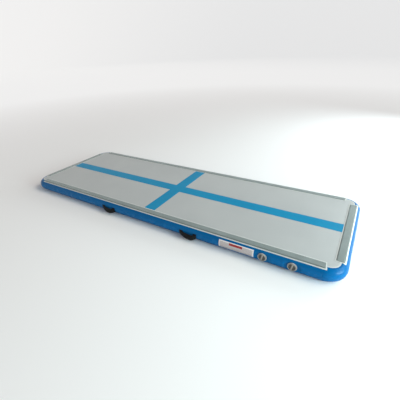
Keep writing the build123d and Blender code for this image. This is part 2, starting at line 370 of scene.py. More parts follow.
def join(name, pieces):
    """Joins finished meshes that share one body into one piece."""
    merged = bmesh.new()
    for piece in pieces:
        merged.from_mesh(piece.data)
    mesh = bpy.data.meshes.new(name)
    merged.to_mesh(mesh)
    merged.free()
    for finish in pieces[0].data.materials:
        mesh.materials.append(finish)
    piece = bpy.data.objects.new(name, mesh)
    scene.collection.objects.link(piece)
    for old in pieces:
        bpy.data.objects.remove(old)
    return piece


# %% [markdown]
# ## Materials: colours and one helper
# Colours are picked as sRGB hex values, the way a colour card gives them, and turned
# to the linear values that the shader works in. `add` puts one node into a material
# with its settings and its links, and every finish below is built with it.

# %% Material helpers
def rgb(code):
    """sRGB hex to linear: c / 12.92 under 0.04045, else ((c + 0.055) / 1.055) ^ 2.4."""
    c = np.array([int(code[k:k + 2], 16) for k in (1, 3, 5)]) / 255
    linear = np.where(c <= 0.04045, c / 12.92, ((c + 0.055) / 1.055) ** 2.4)
    return (*linear.tolist(), 1.0)


def add(tree, kind, inputs=None, **settings):
    """Adds a node, sets its options, and sets or links each named input."""
    made = tree.nodes.new(kind)
    for name, value in settings.items():
        setattr(made, name, value)
    for socket, value in (inputs or {}).items():
        if isinstance(value, bpy.types.NodeSocket):
            tree.links.new(value, made.inputs[socket])
        else:
            made.inputs[socket].default_value = value
    return made


def new_finish(name):
    """An empty node material, with its tree and its shader."""
    made = bpy.data.materials.new(name)
    made.use_nodes = True
    tree = made.node_tree
    tree.nodes.clear()
    shader = add(tree, "ShaderNodeBsdfPrincipled")
    add(tree, "ShaderNodeOutputMaterial", {"Surface": shader.outputs[0]})
    return made, tree, shader


def mottle(tree, where, scale, dark, light):
    """Slow colour variation: noise at `scale` features per metre, between two colours."""
    noise = add(tree, "ShaderNodeTexNoise", {"Vector": where, "Scale": scale, "Detail": 4.0})
    ramp = add(tree, "ShaderNodeValToRGB", {"Fac": noise.outputs[0]})
    for stop, position, colour in zip(ramp.color_ramp.elements, (0.3, 0.7), (dark, light)):
        stop.position = position
        stop.color = rgb(colour)
    return ramp.outputs[0]


def weave(tree, where, pitch_u, pitch_v):
    """Plain weave height: sin(2 pi u / p) sin(2 pi v / q), from -1 to 1."""
    split = add(tree, "ShaderNodeSeparateXYZ", {0: where})
    sines = []
    for k, pitch in enumerate((pitch_u, pitch_v)):
        turn = add(tree, "ShaderNodeMath", {0: split.outputs[k], 1: 2 * math.pi / pitch},
                   operation="MULTIPLY")
        sines.append(add(tree, "ShaderNodeMath", {0: turn.outputs[0]}, operation="SINE").outputs[0])
    return add(tree, "ShaderNodeMath", {0: sines[0], 1: sines[1]}, operation="MULTIPLY").outputs[0]


def complete(tree, shader, linked, layers, **values):
    """Links sockets to the shader, one bump per (height, depth in metres), and sets the rest.

    A value's name has underscores where the shader's socket has spaces.
    """
    for socket, value in linked.items():
        tree.links.new(value, shader.inputs[socket])
    normal = None
    for height, depth in layers:
        inputs = {"Height": height, "Distance": depth, "Strength": 1.0}
        if normal:
            inputs["Normal"] = normal
        normal = add(tree, "ShaderNodeBump", inputs).outputs[0]
    if normal:
        tree.links.new(normal, shader.inputs["Normal"])
    for name, value in values.items():
        shader.inputs[name.replace("_", " ")].default_value = value


# %% [markdown]
# ## Finish: calendered PVC on polyester, the blue side band
# The band is a polyester scrim coated with flexible PVC on hot rollers. PVC has an
# IOR of about 1.53, and the rollers leave a semi-gloss skin, roughness 0.3 or so,
# with a faint leather grain. The scrim's square grid shows through only as a very
# slight unevenness. The threads are 1 mm apart, drawn 3 mm apart so that they show.

# %% Blue, white and grey PVC finishes
SCRIM = 3 * MM


def coated_fabric(name, dark, light, roughness, shine=0.5):
    """PVC-coated fabric: slow mottle, fine grain, and the scrim's grid below it."""
    made, tree, shader = new_finish(name)
    where = add(tree, "ShaderNodeTexCoord").outputs["UV"]
    colour = mottle(tree, where, 5.0, dark, light)
    skin = add(tree, "ShaderNodeTexNoise", {"Vector": where, "Scale": 900.0, "Detail": 2.0})
    patches = add(tree, "ShaderNodeTexNoise", {"Vector": where, "Scale": 14.0, "Detail": 3.0})
    rough = add(tree, "ShaderNodeMapRange", {"Value": patches.outputs[0], "To Min": roughness - 0.05,
                                             "To Max": roughness + 0.07})
    layers = [(weave(tree, where, SCRIM, SCRIM), 0.02 * MM), (skin.outputs[0], 0.03 * MM)]
    complete(tree, shader, {"Base Color": colour, "Roughness": rough.outputs[0]}, layers,
             IOR=1.53, Specular_IOR_Level=shine)
    return made


blue_pvc = coated_fabric("calendered blue PVC on polyester", "#00609A", "#0067A2", 0.26, shine=0.1)
blue_tape = coated_fabric("blue PVC seam tape", "#005B93", "#00629B", 0.29, shine=0.1)
stripe_pvc = coated_fabric("calendered light blue PVC tape", "#0482AC", "#0687B1", 0.42,
                           shine=0.15)
white_pvc = coated_fabric("white PVC backing tape", "#C9CCC8", "#D0D3CF", 0.40)
print("PVC finishes ready")

# %% [markdown]
# ## Finish: woven laminate, the grey top
# The working face is a woven polyester cloth laminated with clear PVC, so feet grip
# it. It is matt to satin, roughness about 0.55, and each crossing of the threads
# stands up a little. The threads are drawn 5 mm apart, about twice as coarse as real
# ones, so that the weave shows. The drop threads pull the face into shallow dimples
# in rows, which is the pattern of a second, wider grid.

# %% Grey woven laminate
TOP_THREAD = 5 * MM
DROP_ROW = 11 * MM
HIGHLIGHT_MARGIN = 9 * MM  # welded margin, pressed flat; painted paler there as a highlight


def woven_laminate(name, dark, light, valley_shade, edge_highlight):
    """Laminated cloth: weave bumps, painted valley shade, dimple rows, a painted margin highlight.
    """
    made, tree, shader = new_finish(name)
    where = add(tree, "ShaderNodeTexCoord").outputs["UV"]
    threads = weave(tree, where, TOP_THREAD, TOP_THREAD)
    rows = weave(tree, where, DROP_ROW, DROP_ROW)
    # Painted shade: the low parts of the weave are mixed towards a darker grey.
    lit = add(tree, "ShaderNodeMapRange", {"Value": threads, "From Min": -1.0, "From Max": 1.0,
                                           "To Min": 0.55, "To Max": 0.0})
    cloth = add(tree, "ShaderNodeMix", {0: lit.outputs[0], 6: mottle(tree, where, 3.0, dark, light),
                                        7: rgb(valley_shade)}, data_type="RGBA")
    # Painted highlight: within the margin round the edge, the colour is mixed towards a paler grey.
    edge = add(tree, "ShaderNodeAttribute", attribute_name="inset")
    margin = add(tree, "ShaderNodeMapRange", {"Value": edge.outputs["Fac"], "From Min": HIGHLIGHT_MARGIN,
                                              "From Max": HIGHLIGHT_MARGIN * 0.7})
    colour = add(tree, "ShaderNodeMix", {0: margin.outputs[0], 6: cloth.outputs[2],
                                         7: rgb(edge_highlight)}, data_type="RGBA")
    fuzz = add(tree, "ShaderNodeTexNoise", {"Vector": where, "Scale": 700.0, "Detail": 3.0})
    layers = [(rows, 0.05 * MM), (threads, 0.12 * MM), (fuzz.outputs[0], 0.05 * MM)]
    complete(tree, shader, {"Base Color": colour.outputs[2]}, layers, IOR=1.5, Roughness=0.5,
             Sheen_Weight=0.1, Sheen_Roughness=0.5)
    return made


grey_top = woven_laminate("woven polyester laminate, light grey",
                          "#AEB1B1", "#B6B9B8", "#989B9A", "#C2C5C3")
grey_under = woven_laminate("woven polyester laminate, underside grey",
                            "#AEB0B2", "#B8BABB", "#96989A", "#C8CACA")
print("woven finishes ready")

# %% [markdown]
# ## Finish: nylon loop pile, the joining strips
# Hook-and-loop tape is knitted nylon. Its loops stand in rows along the tape, scatter
# the light and give it a soft sheen. Real rows are about 1 mm apart, drawn 2.5 mm
# apart here. The two selvedges have no loops and are flatter; their darker grey is
# partly their own and partly painted shade, standing in for the sheen that falls off
# towards the tape's edges.

# %% Nylon loop pile
PILE_ROW = 2.5 * MM


def loop_pile(name, dark, light, shade):
    """Nylon loops: rows along the tape, broken up by noise, with a sheen."""
    made, tree, shader = new_finish(name)
    where = add(tree, "ShaderNodeTexCoord").outputs["UV"]
    fuzz = add(tree, "ShaderNodeTexNoise", {"Vector": where, "Scale": 520.0, "Detail": 5.0,
                                            "Roughness": 0.7})
    rows = weave(tree, where, PILE_ROW * 1.6, PILE_ROW)
    lit = add(tree, "ShaderNodeMapRange", {"Value": fuzz.outputs[0], "From Min": 0.35,
                                           "From Max": 0.65, "To Min": 0.6, "To Max": 0.0})
    colour = add(tree, "ShaderNodeMix", {0: lit.outputs[0], 6: mottle(tree, where, 9.0, dark, light),
                                         7: rgb(shade)}, data_type="RGBA")
    layers = [(rows, 0.2 * MM), (fuzz.outputs[0], 0.35 * MM)]
    complete(tree, shader, {"Base Color": colour.outputs[2]}, layers, IOR=1.53, Roughness=0.65,
             Sheen_Weight=0.5, Sheen_Roughness=0.35)
    return made


pile = loop_pile("knitted nylon loop pile, grey", "#76817F", "#848F8D", "#5B6664")
# The selvedge's darker grey is partly painted shade, where the pile's sheen falls off.
selvedge = loop_pile("woven nylon selvedge, grey", "#606B6A", "#6A7574", "#525C5B")
print("pile ready")

# %% [markdown]
# ## Finishes: webbing, moulded nylon, print, rubber and steel
# - Webbing is woven polyester: a twill of flat ribs, with a slight sheen.
# - The valves are injection-moulded nylon, IOR 1.53, with a spark-eroded satin skin.
# - The label is screen-printed vinyl, smooth, with a little gloss.
# - The seals are moulded rubber, dull and nearly black.
# - The spring is drawn stainless wire, a metal, which keeps the default IOR.

# %% Small-part finishes
RIB = 2.4 * MM


def ribbed_webbing(name, dark, light):
    """Twill webbing: ribs across, a diagonal lay, and a soft sheen."""
    made, tree, shader = new_finish(name)
    where = add(tree, "ShaderNodeTexCoord").outputs["UV"]
    colour = mottle(tree, where, 60.0, dark, light)
    fuzz = add(tree, "ShaderNodeTexNoise", {"Vector": where, "Scale": 900.0, "Detail": 4.0})
    layers = [(weave(tree, where, RIB, RIB * 1.5), 0.25 * MM), (fuzz.outputs[0], 0.1 * MM)]
    complete(tree, shader, {"Base Color": colour}, layers, IOR=1.5, Roughness=0.75,
             Specular_IOR_Level=0.25, Sheen_Weight=0.03)
    return made


def moulded(name, dark, light, roughness, ior=1.53, metal=0.0, hollow_shade=None):
    """A moulded or drawn part: fine grain, slight mottle, and painted shade in its hollows."""
    made, tree, shader = new_finish(name)
    where = add(tree, "ShaderNodeTexCoord").outputs["Object"]
    colour = mottle(tree, where, 120.0, dark, light)
    # Painted shade: where the hollow attribute is set, the colour is mixed towards a dark grey.
    if hollow_shade:
        hollow = add(tree, "ShaderNodeAttribute", attribute_name="hollow")
        colour = add(tree, "ShaderNodeMix", {0: hollow.outputs["Fac"], 6: colour, 7: rgb(hollow_shade)},
                     data_type="RGBA").outputs[2]
    skin = add(tree, "ShaderNodeTexNoise", {"Vector": where, "Scale": 2500.0, "Detail": 2.0})
    complete(tree, shader, {"Base Color": colour}, [(skin.outputs[0], 0.02 * MM)],
             IOR=ior, Roughness=roughness, Metallic=metal)
    return made


webbing_black = ribbed_webbing("woven black polyester webbing", "#030304", "#070709")
# The flange's paler grey partly paints the highlight on its bead, and the cap's darker grey partly
# paints the shade inside the flange's rim.
highlit_valve_nylon = moulded("injection-moulded nylon, warm grey", "#B4B1AA", "#BFBCB5", 0.34)
# The near-black colour below is painted shade on the floors of the cap's finger pockets.
shaded_cap_nylon = moulded("injection-moulded nylon cap, warm grey", "#96938C", "#A19E97", 0.38,
                    hollow_shade="#2E2B28")
tether_pvc = moulded("moulded soft PVC tether, grey", "#6E6C68", "#787672", 0.5)
black_rubber = moulded("moulded black rubber", "#141414", "#1C1C1C", 0.6, ior=1.52)
spring_wire = moulded("drawn stainless spring wire", "#B8B8B6", "#C6C6C4", 0.25, ior=1.5,
                      metal=1.0)
raw_polyester = moulded("raw polyester drop-stitch cloth", "#D4D2CA", "#DDDBD4", 0.8)
label_vinyl = moulded("screen-printed vinyl, off-white", "#E4DEDA", "#EBE6E2", 0.35)
label_red = moulded("screen-printed vinyl, red", "#940610", "#A00812", 0.35)
label_tint = moulded("screen-printed ink, pale grey", "#BFB6B5", "#C6BEBC", 0.4)
label_ink = moulded("screen-printed ink, mid grey", "#A39A99", "#ABA2A1", 0.4)
label_dark = moulded("screen-printed ink, dark grey", "#4A4645", "#524E4C", 0.4)
sewing_thread = moulded("bonded polyester sewing thread, grey", "#A9AEAC", "#B6BBB9", 0.6)
print(len(bpy.data.materials), "materials")

# %% [markdown]
# ## The blue side band
# The band is cut as four strips: two long sides, and two ends with their corners.
# Each is a sheet on the side's line, from under the top skin, round the bulge, to
# under the bottom skin. Cloth simulation could blow it up, but the pressure arc is known
# exactly, and a grid keeps its puckers where a real band has them.
#
# A valve needs a hole. Faces inside it are dropped and the rim's points are drawn
# onto the true circle, which the valve's flange then covers.

# %% Lay the band
TUCK = 24 * MM  # how far the band reaches under the skins
GRID = 5 * MM  # spacing of the band's grid along the mat
NUT_WALL = 8 * MM
hole_radius = half_size("valve_1_nut")[0] - NUT_WALL


def steps(low, high, pitch):
    """Evenly spaced values from low to high, at about the given pitch."""
    return np.linspace(low, high, max(2, int(round((high - low) / pitch)) + 1))


def along(low, high):
    """The common grid along the mat, from low to high, so that sheets stay parallel."""
    inner = np.arange(math.ceil(low / GRID + 0.05), math.floor(high / GRID - 0.05) + 1) * GRID
    return np.concatenate([[low], inner, [high]])


def cut_hole(piece, at, radius):
    """Cuts a round hole along Y: drops the faces inside it and rounds off its rim."""
    def drop(mesh):
        inside = []
        for face in mesh.faces:
            middle = face.calc_center_median()
            if middle.y < 0 and math.hypot(middle.x - at[0], middle.z - at[2]) < radius:
                inside.append(face)
        bmesh.ops.delete(mesh, geom=inside, context="FACES")
        for vertex in mesh.verts:
            away = math.hypot(vertex.co.x - at[0], vertex.co.z - at[2])
            if vertex.is_boundary and vertex.co.y < 0 and away < radius + 2 * GRID:
                vertex.co.x = at[0] + (vertex.co.x - at[0]) * radius / away
                vertex.co.z = at[2] + (vertex.co.z - at[2]) * radius / away
    reshape(piece, drop)


sides = {"front": (stops[0], stops[1]), "right": (stops[1], stops[4]),
         "back": (stops[4], stops[5]), "left": (stops[5], stops[8])}
w_band = np.concatenate([steps(-TUCK, -2 * MM, 5 * MM), steps(0, arc_length, 3.5 * MM),
                         steps(arc_length + 2 * MM, arc_length + TUCK, 5 * MM)])
LAP = 12 * MM  # a long strip runs on under the end strips
LAP_DEPTH = 0.35 * MM  # and lies this far below them
for side, (start, end) in sides.items():
    lap = LAP if side in ("front", "back") else 0.0
    s_band = along(start - lap, end + lap)
    under = np.where((s_band < start) | (s_band > end), -LAP_DEPTH, 0.0)
    band = surface("side_band_" + side + "_sheet",
                   lay(s_band[:, None], w_band[None], under[:, None]), blue_pvc)
    if side == "front":
        for at in valve_at:
            cut_hole(band, at, hole_radius)
    thicken(band, sheet, outward=False)
    belongs(band, "blue_band", "side_band_" + side)
    print(band.name, len(band.data.polygons), "faces")

# %% [markdown]
# ## The seam tapes
# A second, narrower tape is welded over each shoulder to seal the seam between the
# chamber and the band. Its free edge is the fine line along the side.

# %% Lay the seam tapes
tape_edge = corners("upper_seam_tape")[0][2]
tape_thickness = 0.8 * MM
TAPE_UNDER = 2 * MM  # how far a tape reaches in past its shoulder
s_tape = along(0, perimeter)
tapes = {"upper_seam_tape": (-TAPE_UNDER, w_at(tape_edge)),
         "lower_seam_tape": (arc_length - w_at(tape_edge), arc_length + TAPE_UNDER)}
for name, (start, end) in tapes.items():
    points = lay(s_tape[:, None], steps(start, end, 4 * MM)[None], 0.0)
    piece = surface(name + "_sheet", points, blue_tape)
    for at in valve_at:
        cut_hole(piece, at, seat_reach)
    reshape(piece, lambda mesh: bmesh.ops.remove_doubles(mesh, verts=mesh.verts, dist=0.01 * MM))
    thicken(piece, tape_thickness, bevel=0.25 * MM)
    belongs(piece, "blue_band", name)
    print(name, len(piece.data.polygons), "faces")

# %% [markdown]
# ## The top and bottom skins
# The skin is a flat sheet with rounded corners. A row at height y across it is as
# long as the outline there, so mapping x onto that row's length gives a grid whose
# edge is exactly the outline, with no trimming. The face of a drop-stitch mat is not
# glass-flat: it rises and falls a few tenths of a millimetre.

# %% Lay the skins
skin_high = corners("top_skin")[1]
skin_corner = 66 * MM


def swell(x, y):
    """Slow rise and fall of the face, under half a millimetre."""
    wave = np.sin(7.1 * x + 2.3 * y) + np.sin(-4.3 * x + 9.7 * y + 1.0)
    return 0.12 * MM * (wave + np.sin(17 * x + 5 * y))


def rounded_sheet(half_x, half_y, radius, rows, columns):
    """Grid (x, y): x = t (hx - r + sqrt(r^2 - (|y| - hy + r)^2)) for t from -1 to 1."""
    flat = np.linspace(-1, 1, rows)
    y = half_y * np.sin(flat * math.pi / 2)
    past = np.clip(np.abs(y) - (half_y - radius), 0, radius)
    reach = half_x - radius + np.sqrt(radius**2 - past**2)
    t = np.sin(np.linspace(-1, 1, columns) * math.pi / 2)
    x = t[None] * reach[:, None]
    return x, np.broadcast_to(y[:, None], x.shape)


def from_edge(grid):
    """Distance in from the skin's edge: r - |p| in a corner, the nearer side elsewhere."""
    past = np.abs(grid[..., :2]) - (skin_high[:2] - skin_corner)
    outside = np.hypot(*np.moveaxis(np.maximum(past, 0), -1, 0))
    return skin_corner - outside - np.minimum(past.max(-1), 0)


x, y = rounded_sheet(skin_high[0], skin_high[1], skin_corner, 90, 230)
for name, face_z, finish, up in (("top_skin", top_z, grey_top, True),
                                 ("bottom_skin", 0.0, grey_under, False)):
    z = face_z + swell(x, y) if up else np.zeros_like(x)
    grid = np.stack([x, y, z], -1)
    grid = grid if up else grid.transpose(1, 0, 2)
    piece = surface(name + "_sheet", grid, finish)
    # The distance in from the edge places the painted highlight on the welded margin.
    mark(piece, "inset", from_edge(grid).ravel())
    thicken(piece, sheet, outward=False, bevel=0.3 * MM)
    belongs(piece, "grey_skin", name)
    print(name, len(piece.data.polygons), "faces")

# %% [markdown]
# ## Base strips
# A white PVC strip is welded to the top skin and down over the shoulder, to carry the
# joining tape. It is another sheet on the side's line: 1 mm up where it lies on the
# top skin, and a tape's thickness up where it wraps over the bulge.

# %% Lay the base strips
base_low, base_high = corners("base_strip_front")
base_inner = -(base_high[1] + half_width - shoulder)
base_outer = w_at(base_low[2] + 0.3 * MM)
base_thickness = 0.9 * MM
side_middle = {"front": (stops[0] + stops[1]) / 2, "right": (stops[2] + stops[3]) / 2,
               "back": (stops[4] + stops[5]) / 2, "left": (stops[6] + stops[7]) / 2}


def strip_span(node):
    """Half the length of a strip along its side."""
    return max(half_size(node)[:2])


w_base = steps(base_inner, base_outer, 2.5 * MM)
h_base = sheet + (tape_thickness - sheet) * smooth(w_base, -13 * MM, 0) + 0.05 * MM
for side, centre in side_middle.items():
    span = strip_span("base_strip_" + side)
    s_base = along(centre - span, centre + span)
    piece = surface("base_strip_" + side + "_tape",
                    lay(s_base[:, None], w_base[None], h_base[None]), white_pvc)
    thicken(piece, base_thickness, bevel=0.3 * MM)
    belongs(piece, "white_base", "base_strip_" + side)
print("base strip from", round(base_inner, 4), "to", round(base_outer, 4))

# %% [markdown]
# ## Hook-and-loop strips
# The joining tape is closed across: a selvedge at each edge, then the thicker pile
# between them. Its cut is a short list of heights over its width, carried along the
# side. The pile's surface is roughened by a fixed-seed noise of a tenth of a
# millimetre, so even the bare mesh reads as loops and not as plastic.

# %% Lay the joining tape
strip_width, pile_height = 2 * half_size("hook_strip_front")[1:]
SELVEDGE = 5 * MM
random = np.random.default_rng(7)


def tape_section(width, height, edge, flat):
    """Closed section (w, h): selvedges `flat` high and `edge` wide, the pile above."""
    half = width / 2
    inner = half - edge
    across = np.linspace(-inner + 1.5 * MM, inner - 1.5 * MM, 16)
    w = [-half, -half, -half + 0.3 * MM, -inner, -inner + 0.5 * MM, *across,
         inner - 0.5 * MM, inner, half - 0.3 * MM, half, half]
    h = [0, flat - 0.2 * MM, flat, flat, height - 0.3 * MM, *([height] * 16),
         height - 0.3 * MM, flat, flat, flat - 0.2 * MM, 0]
    return np.array(w), np.array(h)


TAPE_OVER = 5 * MM  # how far the tape bends over the shoulder
TAPE_IN = 2 * MM  # and how far it draws away from the middle
tape_width = strip_width + TAPE_OVER - TAPE_IN
section_w, section_h = tape_section(tape_width, pile_height, SELVEDGE, 0.75 * MM)
for side, centre in side_middle.items():
    span = strip_span("hook_strip_" + side)
    s_hook = along(centre - span, centre + span)
    rough = random.uniform(-0.12 * MM, 0.0, (len(s_hook), len(section_h)))
    rough *= section_h[None] > 1.2 * MM
    h_hook = sheet + base_thickness + 0.05 * MM + section_h[None] + rough
    w_hook = TAPE_OVER - tape_width / 2 + section_w[None]
    piece = surface("hook_strip_" + side + "_tape", lay(s_hook[:, None], w_hook, h_hook),
                    pile, across=True)
    rib = len(section_h)
    # The selvedge faces at both edges get the darker grey, partly painted shade.
    piece.data.materials.append(selvedge)
    column = np.arange(len(piece.data.polygons)) % rib
    flat_edge = (column < 3) | (column > rib - 5)
    piece.data.polygons.foreach_set("material_index", flat_edge.astype(np.int32))
    close_ends(piece)
    shaded_by_angle(piece, 50)
    belongs(piece, "hook_strip", "hook_strip_" + side)
    print(piece.name, len(piece.data.polygons), "faces")

# %% [markdown]
# ## Stitches
# Two rows of lockstitch hold each joining tape to its base strip. A stitch is a short
# arched thread. One small grid is worked out and copied to every place by adding an
# array of positions, with no loop over the stitches.

# %% Sew the tape down
STITCH = 5 * MM
STITCH_GAP = 1.5 * MM
THREAD = 0.35 * MM


def stitch_row(s_low, s_high, w, h):
    """All stitches of one row: arched threads, r sin(pi t) high, t along each stitch."""
    starts = np.arange(s_low, s_high - STITCH, STITCH + STITCH_GAP)
    t = np.linspace(0, 1, 6)
    ring = np.linspace(0, 2 * math.pi, 6, endpoint=False)
    fat = THREAD * np.sqrt(np.clip(1 - (2 * t - 1) ** 6, 0.02, 1))
    s = starts[:, None, None] + t[:, None] * STITCH + 0 * ring
    across = w + fat[:, None] * np.cos(ring) + 0 * s
    up = h + fat[:, None] * np.sin(ring) + 0.3 * MM * np.sin(math.pi * t)[:, None] + 0 * s
    points = lay(s.reshape(1, -1), across.reshape(1, -1), up.reshape(1, -1)).reshape(-1, 3)
    index = np.arange(s.size).reshape(s.shape)
    index = np.concatenate([index, index[:, :, :1]], 2)
    quads = np.stack([index[:, :-1, :-1], index[:, 1:, :-1], index[:, 1:, 1:],
                      index[:, :-1, 1:]], -1)
    ends = np.concatenate([index[:, 0, -2::-1], index[:, -1, :-1]])
    return points, quads.reshape(-1, 4), ends


for side, centre in side_middle.items():
    span = strip_span("hook_strip_" + side)
    height = sheet + base_thickness + 0.85 * MM
    points, faces = np.zeros((0, 3)), []
    for w in (TAPE_OVER - tape_width + SELVEDGE / 2, TAPE_OVER - SELVEDGE / 2):
        row, quads, ends = stitch_row(centre - span + 2 * MM, centre + span - 2 * MM, w, height)
        faces += (quads + len(points)).tolist() + (ends + len(points)).tolist()
        points = np.vstack([points, row])
    piece = new_piece("hook_strip_" + side + "_stitches", points, faces, sewing_thread)
    belongs(piece, "hook_strip")
    print(piece.name, len(faces), "faces")

# %% [markdown]
# ## Marking stripes
# A blue tape runs down the middle of the mat, and another crosses it at half length.
# Each is a thin closed section with rounded edges, carried along a straight line and
# following the face's slow swell.

# %% Lay the stripes
def flat_tape(node, axis):
    """A tape on the top face: a rounded section carried along X (0) or Y (1)."""
    low, high = corners(node)
    half, thick = (high[1 - axis] - low[1 - axis]) / 2, high[2] - low[2]
    middle = low[1 - axis] + half
    edge = np.array([0.0, 0.15, 0.5, 1.0]) * thick
    rise = np.array([0.3, 0.7, 0.93, 1.0]) * thick
    inside = np.linspace(-half + 4 * MM, half - 4 * MM, 14)
    across = np.concatenate([-half + edge, inside, half - edge[::-1], [half, -half]])
    height = np.concatenate([rise, [thick] * 14, rise[::-1], [0, 0]])
    run = steps(low[axis], high[axis], 12 * MM)
    a, b = np.broadcast_arrays(run[:, None], middle + across[None])
    x, y = (b, a) if axis else (a, b)
    points = np.stack([x, y, top_z + swell(x, y) + height + 0.02 * MM], -1)
    piece = surface(node + "_tape", points[::-1] if axis else points, stripe_pvc,
                    across=True, caps=True)
    shaded_by_angle(piece, 60)
    belongs(piece, "blue_stripe", node)


for node, axis in (("centre_stripe", 0), ("cross_stripe_front", 1), ("cross_stripe_back", 1)):
    flat_tape(node, axis)
print("stripes laid")

# %% [markdown]
# ## The label
# A vinyl patch is welded to the side near the valves. It carries only a plain red
# block and ruled lines, with no lettering. All of them are laid on the side's line,
# one print's thickness above the other.

# %% Lay the label
label_low, label_high = corners("label_patch")
block_low, block_high = corners("label_block")
LABEL = 0.6 * MM
PRINT = 0.12 * MM


def on_label(name, x_span, z_span, layer, thick, finish):
    """A patch on the front side between two x and two z, some layers up from the band."""
    s = along(x_span[0] + straight_x, x_span[1] + straight_x)
    w = steps(w_at(z_span[1]), w_at(z_span[0]), 2.5 * MM)
    ramp = tape_thickness * smooth(w, w_at(tape_edge) + 5 * MM, w_at(tape_edge))
    piece = surface(name, lay(s[:, None], w[None], (ramp + layer)[None]), finish)
    return thicken(piece, thick, bevel=min(0.2 * MM, thick / 3))


AIR = 0.05 * MM  # kept between one print and the next
FIRST, SECOND = LABEL + AIR, LABEL + PRINT + 2 * AIR
patch = on_label("label_patch_vinyl", (label_low[0], label_high[0]),
                 (label_low[2], label_high[2]), AIR, LABEL, label_vinyl)
block = on_label("label_block_print", (block_low[0], block_high[0]),
                 (block_low[2], block_high[2]), SECOND, PRINT, label_red)
belongs(patch, "label", "label_patch")
belongs(block, "label_red", "label_block")

FRAME_INSET = 7 * MM
RULE = 1.2 * MM
RULE_MARGIN = 8 * MM
left, right = label_low[0] + FRAME_INSET, label_high[0] - FRAME_INSET
low, high = label_low[2] + 3 * MM, label_high[2] - 6 * MM
prints = [on_label("label_panel_print", (left, right), (low, high), FIRST, PRINT, label_tint)]
for number in range(4):
    z = low + 11 * MM + number * 8 * MM
    gaps = [(left + RULE_MARGIN, right - RULE_MARGIN)]
    if z > block_low[2] - 3 * MM:
        gaps = [(left + RULE_MARGIN, block_low[0] - 6 * MM),
                (block_high[0] + 6 * MM, right - RULE_MARGIN)]
    for part, span in enumerate(gaps, start=1):
        prints.append(on_label(f"label_rule_{number + 1}_{part}", span, (z, z + RULE),
                               SECOND, PRINT, label_ink))
prints.append(on_label("label_foot_rule", (left + RULE_MARGIN, right - RULE_MARGIN),
                       (low + 2 * MM, low + 5 * MM), SECOND, PRINT, label_dark))
for piece in prints:
    belongs(piece, "label")
print("label with", len(prints), "prints")

# %% [markdown]
# ## Webbing handles
# A handle is one length of webbing. Each end lies flat on the side, is folded back
# over itself and stands out in a loop that sags under its own weight. A flat strap is
# best carried along a path: seen from above the path is tab, fold, bow, fold, tab,
# and the strap's width is set across it. Near the side the strap follows the bulge,
# and away from it stands upright.
#
# The loop lifts while the tabs stay glued to the side.

# %% Make the handles
WEB_HALF = 1.05 * MM
FOLD = 1.7 * MM
SAG = 6 * MM
LEAN = math.radians(25)
APEX = 0.48  # the bow leans towards the valve end
loop_half, _, web_half_width = half_size("handle_front_left")
loop_low, loop_high = corners("handle_front_left")
web_middle = (loop_high[2] + loop_low[2]) / 2
loop_reach = -half_width - loop_low[1]
tab_inner = 45 * MM


def bow(t):
    """Shape of the loop over t in -1..1: (1 - q^2)^1.2, q measured from a shifted apex."""
    q = np.where(t < APEX, (t - APEX) / (1 + APEX), (t - APEX) / (1 - APEX))
    return np.clip(1 - np.abs(q) ** 2.0, 0, 1) ** 1.2


def handle_path():
    """Centre line of one handle: x along the side, o outwards, and how far it sags."""
    base = WEB_HALF + 0.2 * MM
    tab = np.linspace(-tab_inner, -loop_half + FOLD, 10)
    turn = np.linspace(-90, -270, 13)[1:-1]
    fold_x = -loop_half + FOLD + FOLD * np.cos(np.radians(turn))
    fold_o = base + FOLD + FOLD * np.sin(np.radians(turn))
    t = np.linspace(-1, 1, 81)
    loop_x = t * (loop_half - FOLD)
    rise = bow(t)
    reach = loop_reach - web_half_width * math.sin(LEAN)
    loop_o = base + 2 * FOLD + (reach - base - 2 * FOLD - WEB_HALF) * rise
    x = np.concatenate([tab, fold_x, loop_x, -fold_x[::-1], -tab[::-1]])
    o = np.concatenate([np.full(10, base), fold_o, loop_o, fold_o[::-1], np.full(10, base)])
    sag = np.concatenate([np.zeros(21), SAG * rise, np.zeros(21)])
    return x, o, sag, sag / SAG


def webbing_section(half_wide, half, count=15):
    """Closed section (across, through): flat faces and half-round selvedges."""
    flat = np.linspace(half - half_wide, half_wide - half, count)
    cap = np.radians(np.linspace(90, -90, 6)[1:-1])
    across = np.concatenate([flat, half_wide - half + half * np.cos(cap),
                             flat[::-1], half - half_wide - half * np.cos(cap)])
    through = np.concatenate([np.full(count, half), half * np.sin(cap),
                              np.full(count, -half), -half * np.sin(cap)])
    return across, through


HUG = 9 * MM  # how far out the strap still follows the bulge


def handle(where, sign):
    """Carries the webbing section along the path; sign is 1 in front and -1 behind."""
    node = "handle_" + where
    centre_x = sum(corners(node))[0] / 2
    x, o, sag, free = handle_path()
    across, through = webbing_section(web_half_width, WEB_HALF)
    dx, do = np.gradient(x), np.gradient(o)
    size = np.hypot(dx, do)
    normal_x, normal_o = do / size, -dx / size
    lean = LEAN * free[:, None]
    z = web_middle - sag[:, None] + across * np.cos(lean)
    rise = np.clip((z - middle_z) / wall_radius, -1, 1)
    wall = np.interp((half_angle - np.arcsin(rise)) * wall_radius, line_w, line_u)
    hug = (np.exp(-(o / HUG) ** 2) * (1 - free))[:, None]
    px = x[:, None] + through * normal_x[:, None]
    po = o[:, None] + through * normal_o[:, None] + wall * hug - across * np.sin(lean)
    points = np.stack([centre_x + sign * px, -sign * (half_width + po), z], -1)
    piece = surface(node + "_webbing", points, webbing_black, across=True, caps=True)
    shaded_by_angle(piece, 50)
    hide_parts(node, "handle_tabs_" + where)
    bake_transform(piece)


for where, sign in (("front_left", 1), ("front_right", 1), ("back_left", -1), ("back_right", -1)):
    handle(where, sign)
print("handles made,", round(loop_half * 2000), "mm long")

